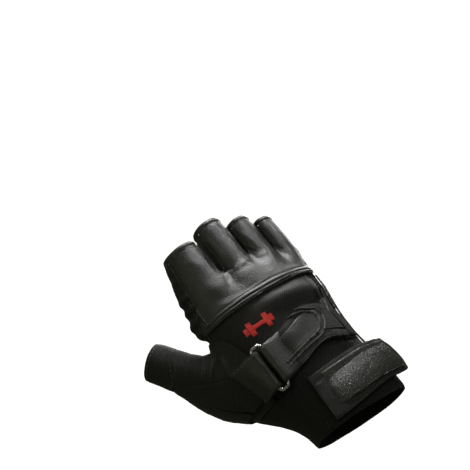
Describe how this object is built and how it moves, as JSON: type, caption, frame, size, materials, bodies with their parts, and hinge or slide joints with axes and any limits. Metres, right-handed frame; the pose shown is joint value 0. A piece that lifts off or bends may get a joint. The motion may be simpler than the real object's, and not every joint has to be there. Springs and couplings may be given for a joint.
{
  "type": "weightlifting glove",
  "caption": "half-finger leather training glove in its worn form, with a padded palm, a ribbed back, a back strap through a ring and a wrist wrap with a free end",
  "frame": {"origin": "centre of the wrist opening, in the plane of the cuff's lower rim", "axes": "+Z from the wrist opening to the fingers, -Y out of the back of the hand, +Y out of the palm, -X to the thumb side, +X to the little-finger side"},
  "size_m": [0.126, 0.0755, 0.1589],
  "materials": {
    "smooth_leather": "soft black leather with a low sheen and fine creases",
    "grained_leather": "black leather with a pebbled grain",
    "suede": "dark grey napped suede with light specks",
    "ribbed_fabric": "black stretch fabric with fine ribs",
    "knit": "plain black elastic knit",
    "strap_fabric": "black foam-backed fabric",
    "webbing": "black woven tape",
    "hook_and_loop": "rough black hook-and-loop tape",
    "ring_metal": "bright plated wire",
    "red_thread": "red satin-stitch thread"
  },
  "bodies": {
    "root": {"back_leather": "smooth_leather", "back_fabric": "ribbed_fabric", "palm_leather": "suede", "fourchette_index_middle": "smooth_leather", "fourchette_middle_ring": "smooth_leather", "fourchette_ring_little": "smooth_leather", "index_binding": "smooth_leather", "middle_binding": "smooth_leather", "ring_binding": "smooth_leather", "little_binding": "smooth_leather", "cuff_band": "knit", "thumb_fabric": "ribbed_fabric", "thumb_crotch": "suede", "thumb_band": "smooth_leather", "wrist_strap": "strap_fabric", "wrist_strap_leather": "grained_leather", "wrist_strap_hook": "hook_and_loop", "back_strap": "webbing", "back_strap_leather": "smooth_leather", "back_strap_binding_upper": "webbing", "back_strap_binding_lower": "webbing", "loop_pad": "hook_and_loop", "strap_ring": "ring_metal", "ring_anchor": "smooth_leather", "side_piping": "smooth_leather", "palm_pad_upper": "suede", "palm_pad_lower": "suede", "emblem": "red_thread"}
  },
  "joints": []
}
